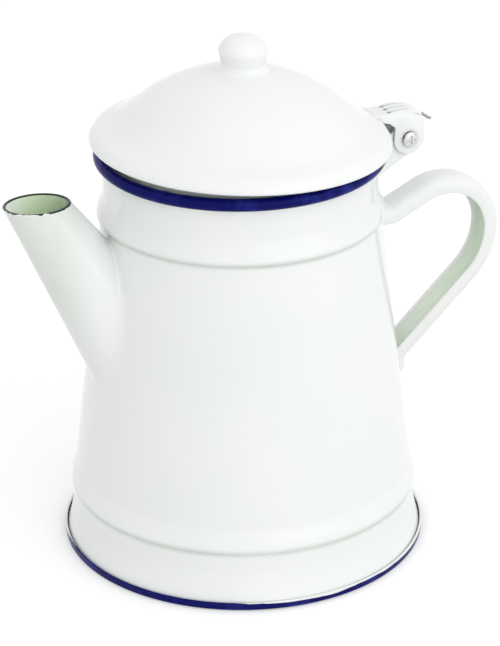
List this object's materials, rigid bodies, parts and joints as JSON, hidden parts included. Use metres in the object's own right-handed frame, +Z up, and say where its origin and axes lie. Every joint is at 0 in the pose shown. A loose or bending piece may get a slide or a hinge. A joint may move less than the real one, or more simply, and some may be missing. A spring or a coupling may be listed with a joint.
{
  "type": "coffee pot",
  "caption": "Conical enamelled sheet-metal coffee pot with a slanted conical spout, a channel handle and a hinged domed lid with a ball knob.",
  "frame": {"origin": "centre of the flat underside, on the surface that the pot stands on, on the axis of the cone", "axes": "+Z up along the axis of the cone; +X towards the handle, with the spout along -X; the X-Z plane is the plane of symmetry, and the lid's hinge axis is parallel to Y"},
  "size_m": [0.1845, 0.13, 0.1853],
  "materials": {
    "body": "glossy white vitreous enamel, cobalt blue on the rolled rim",
    "base": "glossy cobalt blue enamel edge",
    "spout": "glossy white vitreous enamel",
    "handle": "glossy white vitreous enamel",
    "hinge": "glossy white vitreous enamel, thin at the edges",
    "lid": "glossy white vitreous enamel",
    "screw": "plain steel, a little dull"
  },
  "bodies": {
    "pot": {"body_shell": "body", "base_pan": "base", "spout": "spout", "handle": "handle", "hinge_bracket": "hinge", "pivot_screw": "screw", "pivot_nut": "screw"},
    "lid": {"lid_shell": "lid", "lid_collar": "lid", "lid_knob": "lid", "hinge_saddle": "hinge"}
  },
  "joints": [
    {"name": "lid_hinge", "type": "hinge", "parent": "pot", "child": "lid", "pos_m": [0.062, 0, 0.1414], "axis": [0, 1, 0], "range_deg": [-2.2, 140]}
  ]
}
